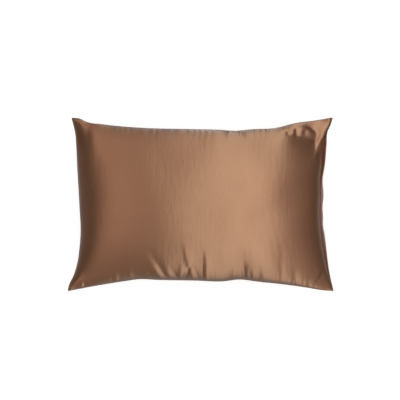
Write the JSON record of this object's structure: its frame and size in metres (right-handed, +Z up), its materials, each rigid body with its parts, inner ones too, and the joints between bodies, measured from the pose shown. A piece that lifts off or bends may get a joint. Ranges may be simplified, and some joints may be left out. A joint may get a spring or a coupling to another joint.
{
  "type": "filled pillowcase",
  "caption": "Satin pillowcase filled by its pillow, lying on its back: crowned front, pointed corners, puckered seams and a hemmed open end on the right.",
  "frame": {"origin": "on the surface that the case lies on, under the middle of its box", "axes": "+X along the case towards its open end, +Y across it, +Z up, out of the front"},
  "size_m": [0.7238, 0.4714, 0.1798],
  "materials": {
    "satin_front": "satin weave, soft sheen",
    "satin_back": "satin weave, soft sheen"
  },
  "bodies": {
    "root": {"front_panel": "satin_front", "back_panel": "satin_back"}
  },
  "joints": []
}
